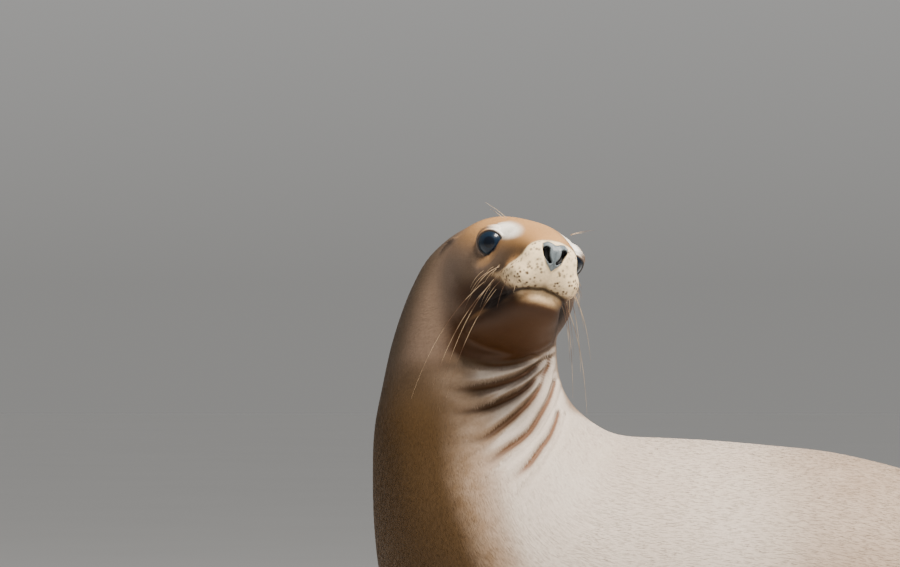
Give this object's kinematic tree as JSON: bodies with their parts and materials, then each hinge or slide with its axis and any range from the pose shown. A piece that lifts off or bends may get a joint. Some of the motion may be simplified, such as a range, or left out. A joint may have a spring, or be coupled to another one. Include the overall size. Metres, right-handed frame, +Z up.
{
  "type": "sea lion",
  "caption": "Life-size still model of a young female sea lion, sitting up on her fore flippers with her head turned over the left shoulder.",
  "frame": {"origin": "on the floor, under the middle of the whole model's box", "axes": "+Z up, +X from the chest to the tail along the trunk, so the animal faces -X and its left side is towards -Y, where the face looks"},
  "size_m": [1.1382, 0.97, 0.6635],
  "materials": {
    "coat": "short dense fur lying flat, golden brown, paler on the back and muzzle",
    "flipper_skin": "bare dark brown skin, finely creased",
    "nose_skin": "bare damp blue-grey skin",
    "eye": "wet and glossy, blue-black",
    "claw": "dull horn"
  },
  "bodies": {
    "root": {"trunk": "coat", "neck": "coat", "head": "coat", "jaw": "coat", "tail": "coat", "ear_left": "coat", "ear_right": "coat", "nose": "nose_skin", "eye_left": "eye", "eye_right": "eye", "fore_flipper_left": "flipper_skin", "fore_flipper_right": "flipper_skin", "hind_flipper_left": "flipper_skin", "hind_flipper_right": "flipper_skin", "claw_left_1": "claw", "claw_left_2": "claw", "claw_left_3": "claw", "claw_right_1": "claw", "claw_right_2": "claw", "claw_right_3": "claw"}
  },
  "joints": []
}
